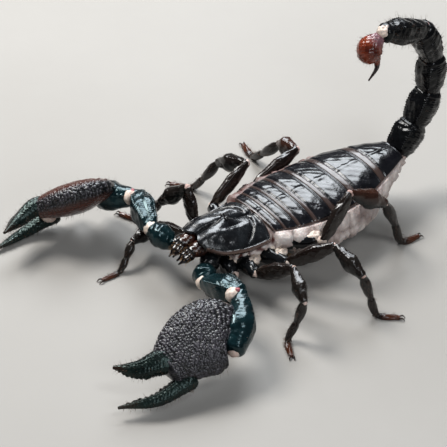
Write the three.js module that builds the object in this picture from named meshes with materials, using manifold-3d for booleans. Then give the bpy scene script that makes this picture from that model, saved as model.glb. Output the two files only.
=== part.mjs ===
// Emperor scorpion, life size, standing on its eight feet with the tail curled over. Millimetres, Z up,
// the head towards -Y and the animal's left side at +X.
import * as THREE from "three";
import { mergeVertices } from "three/addons/utils/BufferGeometryUtils.js";
import Module from "manifold-3d";

const wasm = await Module();
wasm.setup();

const GAP = 0.3; // clearance between neighbouring pieces
const CENTRE_X = -1.05; // middle of the footprint, from the middle of the carapace's rear edge
const CENTRE_Y = 0.7;
const BASE_Z = 11.08; // height of the body's own base plane over the floor
const PITCH = THREE.MathUtils.degToRad(-2.5); // the head end is carried higher

const CARAPACE = 24.6; // along the back, front lobes to rear edge
const CARAPACE_THICK = 1.1;
const NOTCH = 2.4; // depth of the notch between the front lobes
const PLATE_THICK = 0.7;
const SEAM = 0.5; // soft band left bare between two back plates
const PLATE_REACH = 1.0; // angle from the crest to a back plate's side edge
const PLATE_ENDS = [0.4, 4.0, 8.6, 14.4, 22.0, 31.8, 44.6, 59.4]; // back plates' borders along the body

const BACK_LENGTH = 61.0;
const HALF_WIDTHS = [11.6, 14.2, 15.8, 16.2, 16.0, 14.8, 12.2, 8.8, 5.4];
const CREST = [8.0, 8.8, 9.6, 10.0, 10.4, 11.0, 11.6, 11.4, 11.0];
const GIRTH_LEVEL = [5.3, 3.9, 2.9, 2.6, 2.8, 3.6, 4.9, 6.3, 7.7]; // height of the widest place
const BELLY = [2.0, -2.4, -5.6, -7.0, -7.0, -5.6, -2.9, 0.9, 4.4];
const BULGE = [2.6, 2.8, 2.6, 2.2, 2.0, 1.9, 1.0, 0.3, 0.0]; // swelling of the soft flank past the plates
const BODY_SQUARE = 2.3;
const BREAST_FROM = -14; // front end of the soft body, under the carapace

const vec = (x, y, z) => new THREE.Vector3(x, y, z);
const SIDEWAYS = vec(1, 0, 0);
const UP = vec(0, 0, 1);

// A point given in the body's own frame, which is lifted and pitched over the floor.
const body = (x, y, z) =>
  vec(x, y, z).applyAxisAngle(SIDEWAYS, PITCH).add(vec(0, 0, BASE_Z));

// A smooth function of 0 to 1 through equally spaced values.
function profile(...values) {
  const curve = new THREE.SplineCurve(values.map((v, i) => new THREE.Vector2(i, v)));
  return (t) => curve.getPoint(THREE.MathUtils.clamp(t, 0, 1)).y;
}

// A point on a superellipse: the angle runs from the top towards the side.
function rim(angle, half, up, down, square) {
  const s = Math.sin(angle);
  const c = Math.cos(angle);
  const bend = (v) => Math.sign(v) * Math.abs(v) ** (2 / square);
  return [half * bend(s), (c > 0 ? up : down) * bend(c)];
}

function solid(geometry) {
  const bare = geometry.index ? geometry.toNonIndexed() : geometry;
  bare.deleteAttribute("normal");
  bare.deleteAttribute("uv");
  const merged = mergeVertices(bare, 1e-4);
  return new wasm.Manifold(
    new wasm.Mesh({
      numProp: 3,
      vertProperties: merged.attributes.position.array,
      triVerts: new Uint32Array(merged.index.array),
    }),
  );
}

// A closed tube along a curve. half, up and down give its section at 0 to 1 along it; grow swells it.
function tube({ path, top, half, up, down = up, square = 2.2, sides = 10, rings = 6 }, grow = 0) {
  const g = new THREE.CylinderGeometry(1, 1, 1, sides, rings);
  const at = g.attributes.position;
  for (let i = 0; i < at.count; i++) {
    const t = 0.5 - at.getY(i);
    const radius = Math.hypot(at.getX(i), at.getZ(i));
    const angle = Math.atan2(at.getX(i), at.getZ(i));
    const centre = path.getPoint(t);
    const along = path.getTangent(t);
    const side = top(t).clone().cross(along).normalize();
    const lift = along.clone().cross(side);
    const [a, b] = rim(angle, half(t) + grow, up(t) + grow, down(t) + grow, square);
    const beyond = t === 0 ? -grow : t === 1 ? grow : 0;
    const p = centre
      .addScaledVector(along, beyond)
      .addScaledVector(side, a * Math.min(radius, 1))
      .addScaledVector(lift, b * Math.min(radius, 1));
    at.setXYZ(i, p.x, p.y, p.z);
  }
  return solid(g);
}

// A curved plate: outer(u, v) and inner(u, v) are its two faces, for u from -1 to 1 and v from 0 to 1.
function plate({ outer, inner, across, lengthwise }, grow = 0) {
  const g = new THREE.BoxGeometry(2, 1, 1, across, lengthwise, 1);
  const at = g.attributes.position;
  for (let i = 0; i < at.count; i++) {
    const u = at.getX(i);
    const v = 0.5 + at.getY(i);
    const p = at.getZ(i) > 0 ? outer(u, v, grow) : inner(u, v, grow);
    at.setXYZ(i, p.x, p.y, p.z);
  }
  return solid(g);
}

const line = (...points) => new THREE.CatmullRomCurve3(points, false, "centripetal");

const COLOURS = {
  shell: 0x15181a,
  membrane: 0xcbb8a8,
  eye: 0x050505,
  sting: 0x3a1108,
  venom: 0x8c2f1c,
  chelicera: 0x3a1c14,
  hand: 0x232826,
  pectine: 0xb9a58c,
};

const scorpion = new THREE.Group();
const made = new Map();

// Adds a piece, less the swollen shapes of the neighbours that it must clear.
function add(name, colour, shape, clears = []) {
  let cut = shape(0);
  for (const other of clears) cut = cut.subtract(made.get(other)(GAP));
  const whole = cut.decompose().sort((a, b) => b.volume() - a.volume())[0];
  made.set(name, shape);
  const mesh = whole.getMesh();
  const g = new THREE.BufferGeometry();
  g.setAttribute("position", new THREE.Float32BufferAttribute(mesh.vertProperties, 3));
  g.setIndex(new THREE.Uint32BufferAttribute(mesh.triVerts, 1));
  g.translate(-CENTRE_X, -CENTRE_Y, 0);
  const material = new THREE.MeshStandardMaterial({ color: COLOURS[colour], roughness: 0.4 });
  const piece = new THREE.Mesh(g, material);
  piece.name = name;
  scorpion.add(piece);
}

// ---- trunk, back plates and carapace ----

const halfWidth = profile(...HALF_WIDTHS);
const crest = profile(...CREST);
const girthLevel = profile(...GIRTH_LEVEL);
const belly = profile(...BELLY);
const bulge = profile(...BULGE);

// A point of the back's outline: y along the body, angle from the crest, depth inwards.
function flank(y, angle, depth = 0) {
  const t = y / BACK_LENGTH;
  const middle = girthLevel(t);
  const up = crest(t) - middle - depth;
  const down = middle - belly(t) - depth;
  const [x, z] = rim(angle, halfWidth(t) - depth, up, down, BODY_SQUARE);
  return body(x, y, middle + z);
}

// The same outline with the soft flank's swelling, for angles past the back plates' edge.
function swollen(y, angle, depth = 0) {
  const turn = Math.abs(Math.atan2(Math.sin(angle), Math.cos(angle)));
  const share = (turn - PLATE_REACH) / (Math.PI - PLATE_REACH);
  return flank(y, angle, depth - bulge(y / BACK_LENGTH) * Math.sin(Math.PI * Math.max(share, 0)));
}

// The soft body under the carapace, where the legs' coxae meet it.
function breast(y, angle, grow) {
  const s = 1 - y / BREAST_FROM;
  const [x, z] = rim(angle, 9 + 3.6 * s + grow, 4.7 + 1.3 * s + grow, 2.4 + 0.8 * s + grow, 2.1);
  return body(x, y, 1.6 - 1.3 * s + z);
}

function trunk(grow) {
  const g = new THREE.CylinderGeometry(1, 1, 1, 18, 12);
  const at = g.attributes.position;
  for (let i = 0; i < at.count; i++) {
    const y = BREAST_FROM + (0.5 + at.getY(i)) * (BACK_LENGTH - 0.6 - BREAST_FROM);
    const radius = Math.min(Math.hypot(at.getX(i), at.getZ(i)), 1);
    const angle = Math.atan2(at.getX(i), at.getZ(i));
    const under = Math.abs(angle) < PLATE_REACH + 0.12 ? PLATE_THICK + GAP + 0.15 : 0;
    const rimPoint = y < 0 ? breast(y, angle, grow) : swollen(y, angle, under - grow);
    const middle = body(0, y, y < 0 ? 2 : girthLevel(y / BACK_LENGTH));
    const p = middle.lerp(rimPoint, radius);
    at.setXYZ(i, p.x, p.y, p.z);
  }
  return solid(g);
}

const carapaceHalf = profile(6.4, 9.0, 10.4, 11.0, 11.4, 11.6);
const carapaceTop = profile(9.4, 10.3, 10.8, 10.2, 9.3, 8.6);
const carapaceDrop = profile(2.2, 4.6, 5.8, 5.8, 4.8, 3.6);

function carapaceAt(u, v, depth, grow) {
  const notch = NOTCH * Math.exp(-((u / 0.28) ** 2));
  const lobe = 1.6 * Math.abs(u) ** 3;
  const front = -CARAPACE + (notch + lobe) * (1 - v) ** 2;
  const rear = -0.2 - 1.4 * Math.abs(u) ** 3;
  const y = front + (rear - front) * v + grow * (2 * v - 1);
  const half = carapaceHalf(v) + grow - depth * 0.4;
  const furrow = 0.5 * Math.exp(-((u / 0.1) ** 2));
  const z = carapaceTop(v) - carapaceDrop(v) * Math.abs(u) ** 2.6 - furrow - depth;
  return body(u * half, y, z);
}

const carapace = (grow) =>
  plate(
    {
      outer: (u, v, g) => carapaceAt(u, v, -g, g),
      inner: (u, v, g) => carapaceAt(u, v, CARAPACE_THICK + g, g),
      across: 10,
      lengthwise: 6,
    },
    grow,
  );

function tergite(i) {
  const from = PLATE_ENDS[i];
  const to = PLATE_ENDS[i + 1] - SEAM;
  return (grow) =>
    plate(
      {
        outer: (u, v, g) =>
          flank(from - g + v * (to - from + 2 * g), u * (PLATE_REACH + g / 14), -g),
        inner: (u, v, g) =>
          flank(from - g + v * (to - from + 2 * g), u * (PLATE_REACH + g / 14), PLATE_THICK + g),
        across: 8,
        lengthwise: 2,
      },
      grow,
    );
}

// ---- limbs ----

// A limb piece between two joints. wide and deep hold its near, middle and far sizes. In look, ends is the
// share of them left at its end faces, and bow moves its middle sideways and up by a share of the length.
function bone(from, to, wide, deep, look = {}) {
  const { top = UP, bow = [0, 0], square = 2.3, ends = LIMB_ENDS, sides = 7, rings = 5 } = look;
  const along = to.clone().sub(from);
  const side = top.clone().cross(along).normalize();
  const lift = along.clone().normalize().cross(side);
  const middle = from.clone().lerp(to, 0.5);
  middle.addScaledVector(side, bow[0] * along.length()).addScaledVector(lift, bow[1] * along.length());
  const sized = ([near, mid, far]) =>
    profile((ends[0] * near) / 2, near / 2, (near + mid) / 4, mid / 2, far / 2, (ends[1] * far) / 2);
  const shape = { path: line(from, middle, to), top: () => lift, half: sized(wide), up: sized(deep) };
  return (grow) => tube({ ...shape, square, sides, rings }, grow);
}

const xyz = (p) => vec(...p);
const toward = (a, b, distance) => a.clone().addScaledVector(b.clone().sub(a).normalize(), distance);

// Leg joints: femur root, knee, end of patella, end of tibia, heel and toe.
const LEGS = {
  left_1: [
    [11.6, -15.9, 9.0], [18.0, -21.5, 7.6], [26.4, -29.4, 7.0],
    [27.3, -34.5, 4.0], [26.0, -38.5, 1.4], [24.5, -44.5, 0.8],
  ],
  left_2: [
    [16.4, -10.9, 10.4], [28.4, -6.5, 18.6], [39.6, -11.2, 15.2],
    [38.2, -12.3, 7.2], [38.0, -15.5, 1.4], [43.9, -18.8, 0.8],
  ],
  left_3: [
    [18.4, -0.1, 11.0], [28.4, 10.0, 19.6], [41.1, 10.9, 15.6],
    [42.6, 13.3, 7.5], [45.4, 14.7, 1.4], [50.1, 19.7, 0.8],
  ],
  left_4: [
    [19.8, 13.0, 14.4], [18.3, 24.3, 27.3], [21.0, 37.3, 19.2],
    [21.4, 42.1, 9.3], [22.9, 45.0, 1.5], [23.6, 51.5, 0.8],
  ],
  right_1: [
    [-11.6, -16.9, 10.0], [-23.6, -19.0, 7.8], [-21.5, -31.0, 8.0],
    [-19.6, -34.6, 4.6], [-18.8, -38.2, 1.4], [-18.8, -44.6, 0.8],
  ],
  right_2: [
    [-15.2, -11.5, 10.5], [-18.4, -11.8, 23.1], [-26.8, -16.0, 13.8],
    [-31.8, -16.8, 6.6], [-36.9, -17.8, 1.7], [-42.9, -20.7, 0.8],
  ],
  right_3: [
    [-16.6, -3.0, 12.5], [-18.8, 12.6, 21.7], [-31.3, 10.8, 14.9],
    [-35.4, 8.3, 7.1], [-40.3, 6.7, 1.6], [-45.9, 2.4, 0.8],
  ],
  right_4: [
    [-16.5, 13.0, 12.0], [-18.4, 33.4, 18.2], [-28.7, 34.7, 13.5],
    [-35.2, 33.6, 6.5], [-41.9, 34.2, 1.8], [-48.9, 35.9, 0.8],
  ],
};
const LEG_SCALE = [0.85, 0.94, 1.0, 1.08];
const FEMUR_WIDE = [2.4, 2.8, 2.5];
const FEMUR_DEEP = [4.5, 5.3, 3.9];
const PATELLA_WIDE = [2.6, 4.4, 3.0];
const PATELLA_DEEP = [3.4, 5.8, 3.8];
const FOOT_HALF = [1.0, 1.55, 1.45, 1.1, 1.25, 1.15, 0.95, 1.1, 1.0, 0.7]; // tibia, basitarsus and tarsus
const COXA = [4.6, 5.4, 4.6];
const LIMB_ENDS = [0.7, 0.8];
const HEEL_Z = 0.8; // middle of the foot over the floor, less than half its depth, so the sole is flat
const TOE_Z = 0.55;
const CLAW = [1.7, 0.75]; // how far each of a foot's two claws reaches forwards and sideways

// Pedipalp joints: coxa end, femur root, elbow and wrist. reach is the way the hand points and inner the
// way its inner edge faces. lift holds the height of the finger roots and tips over the hand's own plane,
// bow is how far the patella curves outwards, as a share of its length, and heel is where the palm starts,
// along the hand from the wrist.
const PALPS = {
  left: {
    coxa: [7.0, -23.6, 12.6], root: [11.4, -27.9, 12.2],
    elbow: [26.5, -25.7, 17.0], wrist: [39.6, -38.0, 11.8],
    reach: [-0.194, -0.976, -0.095], inner: [-0.835, 0.207, 0.509], lift: [0.4, -1.0, -1.2, -2.6],
    bow: 0.06, heel: -1.4,
  },
  right: {
    coxa: [-8.2, -25.0, 13.0], root: [-16.1, -27.6, 15.0],
    elbow: [-32.0, -21.4, 15.0], wrist: [-45.8, -26.3, 10.5],
    reach: [-0.209, -0.977, 0.0], inner: [0.68, -0.146, 0.712], lift: [0.2, -5.4, -3.2, -9.0],
    bow: 0.13, heel: 2.0,
  },
};
const PALP_TROCHANTER = [6.4, 7.8, 6.4];
const PALP_FEMUR = [6.0, 8.4, 7.2];
const PALP_PATELLA_WIDE = [6.4, 9.6, 8.6];
const PALP_PATELLA_DEEP = [6.6, 9.8, 8.8];
const PATELLA_BEYOND = 1.4; // and runs on past it
const PALM_TO = 21.9; // along the hand from the wrist
const PALM_INNER = [7.4, 15.6, 16.9, 16.2, 14.2, 11.2, 7.6]; // reach of the inner edge from the wrist's line
const PALM_OUTER = [5.0, 6.2, 6.2, 6.0, 5.8, 5.2, 4.4]; // and of the outer edge, the other way
const PALM_DEEP = [3.0, 4.8, 5.4, 5.5, 5.2, 4.6, 3.6]; // thickness below the hand's own plane
const PALM_BACK = 0.84; // and above it, as a share of that
const FIXED_FINGER = {
  root: [24.0, 3.6], tip: [36.8, 7.6], outward: -1.4, behind: 5,
  half: [3.6, 3.9, 3.3, 2.4, 0.6], deep: 0.78,
};
const MOVING_FINGER = {
  root: [17.2, -4.5], tip: [39.0, -3.9], outward: -2.0, behind: 2,
  half: [2.9, 3.2, 2.5, 1.7, 0.5], deep: 0.9,
};

const TAIL = [
  [0, 61.3, 16.6], [-0.3, 68.1, 24.7], [-0.4, 73.6, 35.9],
  [-0.3, 73.4, 49.5], [0.5, 66.7, 62.9], [2.0, 48.2, 69.5],
];
const TAIL_WIDE = [[9.0, 9.3, 9.1], [8.6, 9.1, 8.6], [8.1, 8.6, 8.1], [7.6, 8.2, 7.6], [7.0, 7.2, 5.8]];
const TAIL_DEEP = [[8.7, 9.1, 8.8], [8.5, 9.0, 8.5], [8.0, 8.6, 8.0], [7.7, 8.3, 7.7], [7.0, 7.4, 5.6]];
const TAIL_ENDS = [0.84, 0.93];

// Straight coxae run from the middle of the underside to every limb's root.
const coxae = [];
for (const [name, joints] of Object.entries(LEGS)) {
  const side = name.startsWith("left") ? 1 : -1;
  const from = body(side * 2.6, -18.5 + Number(name.slice(-1)) * 4.2, -0.8);
  coxae.push(bone(from, toward(xyz(joints[0]), from, 0.4), COXA, COXA, { sides: 5, rings: 2 }));
}
for (const [name, palp] of Object.entries(PALPS)) {
  const from = body(name === "left" ? 3.0 : -3.0, -17, 1.2);
  coxae.push(bone(from, xyz(palp.coxa), [5.4, 6.4, 5.6], [5.0, 6.4, 5.6], { sides: 7, rings: 3 }));
}
const sternum = bone(body(0, -19.5, -0.4), body(0, 2, -1), [6.0, 8.0, 6.0], [3.4, 3.8, 3.4], { rings: 2 });
const coxosternum = (grow) => coxae.reduce((whole, coxa) => whole.add(coxa(grow)), sternum(grow));

add("coxosternum", "shell", coxosternum);
add("carapace", "shell", carapace);
PLATE_ENDS.slice(1).forEach((_, i) => add("tergite_" + (i + 1), "shell", tergite(i)));

// Belly plates: one strip under the trunk.
const STERNITE_FROM = 12;
const STERNITE_TO = 57;
function bellyAt(u, v, out, grow) {
  const y = STERNITE_FROM + v * (STERNITE_TO - STERNITE_FROM) + grow * (2 * v - 1);
  return swollen(y, Math.PI + u * (0.72 + grow / 14), -out);
}
const sternites = (grow) =>
  plate(
    {
      outer: (u, v, g) => bellyAt(u, v, 0.1 + g, g),
      inner: (u, v, g) => bellyAt(u, v, -0.7 - g, g),
      across: 4,
      lengthwise: 5,
    },
    grow,
  );
add("sternites", "shell", sternites);

const eye = (x, y, z, radius) => (grow) => {
  const g = new THREE.SphereGeometry(radius + grow, 7, 4);
  const at = body(x, y, z);
  return solid(g.translate(at.x, at.y, at.z));
};
add("median_eye_left", "eye", eye(1.05, -11.9, 11.2, 0.75), ["carapace"]);
add("median_eye_right", "eye", eye(-1.05, -11.9, 11.2, 0.75), ["carapace"]);

add("trunk", "membrane", trunk, ["coxosternum", "carapace", "sternites"]);

for (const [name, side] of [["left", 1], ["right", -1]]) {
  const at = (x, y, z) => body(side * x, y, z);
  const claw = { sides: 5, rings: 2, ends: [0.5, 0.6] };
  const stem = { sides: 6, rings: 3 };
  const base = bone(at(2.5, -19, 5.6), at(2.6, -26.6, 5.0), [4.4, 4.8, 4.2], [4.6, 5.2, 4.4], stem);
  const fixed = bone(at(1.8, -25.6, 5.2), at(1.0, -30.6, 2.6), [2.4, 2.2, 0.9], [2.6, 2.2, 1.0], claw);
  const moving = bone(at(3.6, -25.6, 4.8), at(2.4, -31.0, 2.2), [2.4, 2.2, 0.9], [2.6, 2.2, 1.0], claw);
  const shape = (grow) => base(grow).add(fixed(grow)).add(moving(grow));
  const others = ["coxosternum", "carapace", "trunk"];
  add("chelicera_" + name, "chelicera", shape, name === "left" ? others : [...others, "chelicera_left"]);

  // The comb: a bar under the belly with a row of teeth on its rear edge.
  const flat = { sides: 4, rings: 2 };
  const bar = bone(at(1.6, 3.0, -6.4), at(11.0, 7.5, -6.4), [1.8, 2.0, 1.2], [1.0, 1.0, 0.9], flat);
  const teeth = [];
  for (let i = 0; i < 5; i++) {
    const x = 3.0 + i * 1.7;
    const y = 3.9 + i * 0.8;
    const ends = [at(x, y, -6.6), at(x - 0.9, y + 2.8, -6.9)];
    teeth.push(bone(...ends, [0.9, 1.0, 0.9], [0.6, 0.7, 0.6], { sides: 4, rings: 1 }));
  }
  const comb = (grow) => teeth.reduce((whole, tooth) => whole.add(tooth(grow)), bar(grow));
  add("pectine_" + name, "pectine", comb, ["coxosternum", "trunk"]);
}

// ---- tail ----

let before = "trunk";
TAIL.slice(1).forEach((end, i) => {
  const from = xyz(TAIL[i]);
  const to = xyz(end);
  const top = SIDEWAYS.clone().cross(to.clone().sub(from)).normalize();
  const name = "metasoma_" + (i + 1);
  const clears = i ? [before] : ["trunk", "tergite_7", "sternites"];
  const look = { top, square: 2.8, ends: TAIL_ENDS, sides: 10 };
  add(name, "shell", bone(from, to, TAIL_WIDE[i], TAIL_DEEP[i], look), clears);
  before = name;
});

const round = (path, radius, sides, rings) => (grow) =>
  tube({ path, top: () => SIDEWAYS, half: radius, up: radius, square: 2, sides, rings }, grow);
const VESICLE = line(vec(1.9, 47.0, 68.6), vec(0.9, 43.9, 64.0), vec(2.4, 46.2, 60.2));
const ACULEUS = line(vec(2.3, 46.2, 60.0), vec(2.3, 46.4, 57.2), vec(1.4, 44.3, 52.7));
add("vesicle", "venom", round(VESICLE, profile(1.9, 3.5, 4.1, 3.3, 1.3), 10, 6), ["metasoma_5"]);
add("aculeus", "sting", round(ACULEUS, profile(1.1, 0.9, 0.55, 0.28), 7, 4), ["vesicle"]);

// ---- pedipalps ----

for (const [name, palp] of Object.entries(PALPS)) {
  const side = name === "left" ? 1 : -1;
  const joints = ["coxa", "root", "elbow", "wrist", "reach", "inner"];
  const p = Object.fromEntries(joints.map((key) => [key, xyz(palp[key])]));
  const back = p.inner.clone().cross(p.reach).multiplyScalar(side).normalize();
  const id = (part) => "pedipalp_" + part + "_" + name;
  const shell = { sides: 8, rings: 5 };
  const trochanter = bone(p.coxa, p.root, PALP_TROCHANTER, PALP_TROCHANTER, { sides: 8, rings: 4 });
  const femur = bone(p.root, p.elbow, PALP_FEMUR, PALP_FEMUR, { ...shell, square: 3 });
  const wristEnd = toward(p.wrist, p.elbow, -PATELLA_BEYOND);
  const bow = [palp.bow, 0.03];
  const patella = bone(p.elbow, wristEnd, PALP_PATELLA_WIDE, PALP_PATELLA_DEEP, { ...shell, bow });
  add(id("trochanter"), "shell", trochanter, ["coxosternum", "carapace", "trunk", "chelicera_" + name]);
  add(id("femur"), "shell", femur, [id("trochanter"), "coxosternum"]);
  add(id("patella"), "shell", patella, [id("femur")]);

  const hand = (along, inner, lift) => {
    const at = p.wrist.clone().addScaledVector(p.reach, along);
    return at.addScaledVector(p.inner, inner).addScaledVector(back, lift);
  };
  const innerEdge = profile(...PALM_INNER);
  const outerEdge = profile(...PALM_OUTER);
  const along = (t) => palp.heel + (PALM_TO - palp.heel) * t;
  const middles = PALM_INNER.map((v, i) => hand(along(i / 6), (v - PALM_OUTER[i]) / 2, 0));
  const palmHalf = (t) => (innerEdge(t) + outerEdge(t)) / 2;
  const deep = profile(...PALM_DEEP);
  const palmShape = { path: line(...middles), top: () => back, half: palmHalf, down: deep };
  const palm = (grow) => tube({ ...palmShape, up: (t) => PALM_BACK * deep(t), sides: 12, rings: 6 }, grow);

  // A finger runs from a little behind its root, through the bulge of its curve, to its tip.
  const finger = ({ root, tip, outward, behind, half, deep }, rootUp, tipUp) => {
    const base = hand(...root, rootUp);
    const end = hand(...tip, tipUp);
    const bulge = base.clone().lerp(end, 0.45).addScaledVector(p.inner, outward);
    const size = profile(...half);
    const path = line(toward(base, p.wrist, behind), base, bulge, end);
    const shape = { path, top: () => back, half: size, up: (t) => deep * size(t) };
    return (grow) => tube({ ...shape, sides: 8, rings: 6 }, grow);
  };
  const [fixedUp, fixedTipUp, movingUp, movingTipUp] = palp.lift;
  const fixed = finger(FIXED_FINGER, fixedUp, fixedTipUp);
  const moving = finger(MOVING_FINGER, movingUp, movingTipUp);
  add(id("hand"), "hand", (grow) => palm(grow).add(fixed(grow)), [id("patella")]);
  add(id("finger"), "hand", moving, [id("hand")]);
}

// ---- legs ----

const underFloor = new THREE.BoxGeometry(400, 400, 20).translate(0, 0, -10);
for (const [name, joints] of Object.entries(LEGS)) {
  const [root, knee, elbow, ankle, heel, toe] = joints.map(xyz);
  const scale = LEG_SCALE[Number(name.slice(-1)) - 1];
  heel.z = HEEL_Z * scale;
  toe.z = TOE_Z * scale;
  const sized = (sizes) => sizes.map((s) => s * scale);
  const id = (part) => part + "_" + name;
  const femur = bone(root, knee, sized(FEMUR_WIDE), sized(FEMUR_DEEP));
  const patella = bone(knee, elbow, sized(PATELLA_WIDE), sized(PATELLA_DEEP));
  add(id("femur"), "shell", femur, ["coxosternum", "trunk", "carapace"]);
  add(id("patella"), "shell", patella, [id("femur")]);

  const half = profile(...sized(FOOT_HALF));
  const path = line(elbow, ankle, heel, toe);
  const shin = { path, top: () => UP, half, up: half, square: 2.1, sides: 6, rings: 9 };
  const forwards = toe.clone().sub(heel).setZ(0).normalize();
  const claws = [-1, 1].map((side) => {
    const across = UP.clone().cross(forwards).multiplyScalar(side);
    const from = toe.clone().addScaledVector(forwards, -0.5).addScaledVector(across, 0.3);
    const tip = toe.clone().addScaledVector(forwards, CLAW[0]).addScaledVector(across, CLAW[1]).setZ(0.25);
    return bone(from, tip, [0.9, 0.8, 0.7], [0.9, 0.8, 0.7], { sides: 3, rings: 1 });
  });
  const foot = (grow) => {
    const whole = claws.reduce((all, claw) => all.add(claw(grow)), tube(shin, grow));
    return whole.subtract(solid(underFloor.clone().translate(0, 0, -grow)));
  };
  add(id("foot"), "shell", foot, [id("patella")]);
}

export default scorpion;
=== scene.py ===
"""The looks of a life-size emperor scorpion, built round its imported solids.

Sizes are millimetres until a mesh is made. The head looks towards -y, and +x is the animal's left.
"""
from math import cos, pi, radians, sin, sqrt

import bpy
import numpy as np
from mathutils import Matrix, Vector
from mathutils.kdtree import KDTree

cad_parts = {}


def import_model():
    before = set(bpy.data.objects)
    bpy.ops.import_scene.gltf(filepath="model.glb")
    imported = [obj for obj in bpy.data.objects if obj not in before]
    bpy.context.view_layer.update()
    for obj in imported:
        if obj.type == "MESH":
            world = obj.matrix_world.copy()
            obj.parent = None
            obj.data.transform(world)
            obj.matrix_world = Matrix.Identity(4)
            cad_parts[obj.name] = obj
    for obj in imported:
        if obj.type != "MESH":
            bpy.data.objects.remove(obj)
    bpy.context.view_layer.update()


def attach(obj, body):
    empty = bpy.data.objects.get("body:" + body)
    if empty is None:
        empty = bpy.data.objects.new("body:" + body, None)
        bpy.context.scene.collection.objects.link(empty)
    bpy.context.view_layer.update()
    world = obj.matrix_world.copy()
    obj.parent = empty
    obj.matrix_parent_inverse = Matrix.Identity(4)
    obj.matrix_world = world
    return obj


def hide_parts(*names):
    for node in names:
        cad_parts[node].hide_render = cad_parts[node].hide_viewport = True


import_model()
rng = np.random.default_rng(7)

# ---- sizes, as in the part's own source ----

CENTRE = np.array([-1.05, 0.7, 0])
BASE_Z = 11.08
PITCH = radians(-2.5)
CARAPACE = 24.6
CARAPACE_THICK = 1.1
NOTCH = 2.4
PLATE_THICK = 0.7
SEAM = 0.5
PLATE_REACH = 1
PLATE_ENDS = [0.4, 4, 8.6, 14.4, 22, 31.8, 44.6, 59.4]
BACK_LENGTH = 61
HALF_WIDTHS = [11.6, 14.2, 15.8, 16.2, 16, 14.8, 12.2, 8.8, 5.4]
CREST = [8, 8.8, 9.6, 10, 10.4, 11, 11.6, 11.4, 11]
GIRTH_LEVEL = [5.3, 3.9, 2.9, 2.6, 2.8, 3.6, 4.9, 6.3, 7.7]
BELLY = [2, -2.4, -5.6, -7, -7, -5.6, -2.9, 0.9, 4.4]
BULGE = [2.6, 2.8, 2.6, 2.2, 2, 1.9, 1, 0.3, 0]
BODY_SQUARE = 2.3
BREAST_FROM = -14

LEGS = {
    "left_1": [
        [11.6, -15.9, 9], [18, -21.5, 7.6], [26.4, -29.4, 7],
        [27.3, -34.5, 4], [26, -38.5, 1.4], [24.5, -44.5, 0.8],
    ],
    "left_2": [
        [16.4, -10.9, 10.4], [28.4, -6.5, 18.6], [39.6, -11.2, 15.2],
        [38.2, -12.3, 7.2], [38, -15.5, 1.4], [43.9, -18.8, 0.8],
    ],
    "left_3": [
        [18.4, -0.1, 11], [28.4, 10, 19.6], [41.1, 10.9, 15.6],
        [42.6, 13.3, 7.5], [45.4, 14.7, 1.4], [50.1, 19.7, 0.8],
    ],
    "left_4": [
        [19.8, 13, 14.4], [18.3, 24.3, 27.3], [21, 37.3, 19.2],
        [21.4, 42.1, 9.3], [22.9, 45, 1.5], [23.6, 51.5, 0.8],
    ],
    "right_1": [
        [-11.6, -16.9, 10], [-23.6, -19, 7.8], [-21.5, -31, 8],
        [-19.6, -34.6, 4.6], [-18.8, -38.2, 1.4], [-18.8, -44.6, 0.8],
    ],
    "right_2": [
        [-15.2, -11.5, 10.5], [-18.4, -11.8, 23.1], [-26.8, -16, 13.8],
        [-31.8, -16.8, 6.6], [-36.9, -17.8, 1.7], [-42.9, -20.7, 0.8],
    ],
    "right_3": [
        [-16.6, -3, 12.5], [-18.8, 12.6, 21.7], [-31.3, 10.8, 14.9],
        [-35.4, 8.3, 7.1], [-40.3, 6.7, 1.6], [-45.9, 2.4, 0.8],
    ],
    "right_4": [
        [-16.5, 13, 12], [-18.4, 33.4, 18.2], [-28.7, 34.7, 13.5],
        [-35.2, 33.6, 6.5], [-41.9, 34.2, 1.8], [-48.9, 35.9, 0.8],
    ],
}
LEG_SCALE = [0.85, 0.94, 1, 1.08]
FEMUR_WIDE = [2.4, 2.8, 2.5]
FEMUR_DEEP = [4.5, 5.3, 3.9]
PATELLA_WIDE = [2.6, 4.4, 3]
PATELLA_DEEP = [3.4, 5.8, 3.8]
FOOT_HALF = [1, 1.55, 1.45, 1.1, 1.25, 1.15, 0.95, 1.1, 1, 0.7]
COXA = [4.6, 5.4, 4.6]
LIMB_ENDS = (0.7, 0.8)
HEEL_Z = 0.8
TOE_Z = 0.55

PALPS = {
    "left": dict(
        coxa=[7, -23.6, 12.6], root=[11.4, -27.9, 12.2], elbow=[26.5, -25.7, 17],
        wrist=[39.6, -38, 11.8], reach=[-0.194, -0.976, -0.095], inner=[-0.835, 0.207, 0.509],
        lift=[0.4, -1, -1.2, -2.6], bow=0.06, heel=-1.4,
    ),
    "right": dict(
        coxa=[-8.2, -25, 13], root=[-16.1, -27.6, 15], elbow=[-32, -21.4, 15],
        wrist=[-45.8, -26.3, 10.5], reach=[-0.209, -0.977, 0], inner=[0.68, -0.146, 0.712],
        lift=[0.2, -5.4, -3.2, -9], bow=0.13, heel=2,
    ),
}
PALP_TROCHANTER = [6.4, 7.8, 6.4]
PALP_FEMUR = [6, 8.4, 7.2]
PALP_PATELLA_WIDE = [6.4, 9.6, 8.6]
PALP_PATELLA_DEEP = [6.6, 9.8, 8.8]
PATELLA_BEYOND = 1.4
PALM_TO = 21.9
PALM_INNER = [7.4, 15.6, 16.9, 16.2, 14.2, 11.2, 7.6]
PALM_OUTER = [5, 6.2, 6.2, 6, 5.8, 5.2, 4.4]
PALM_DEEP = [3, 4.8, 5.4, 5.5, 5.2, 4.6, 3.6]
PALM_BACK = 0.84
FIXED_FINGER = dict(
    root=[24, 3.6], tip=[36.8, 7.6], outward=-1.4, behind=5, half=[3.6, 3.9, 3.3, 2.4, 0.6], deep=0.78,
)
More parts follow.
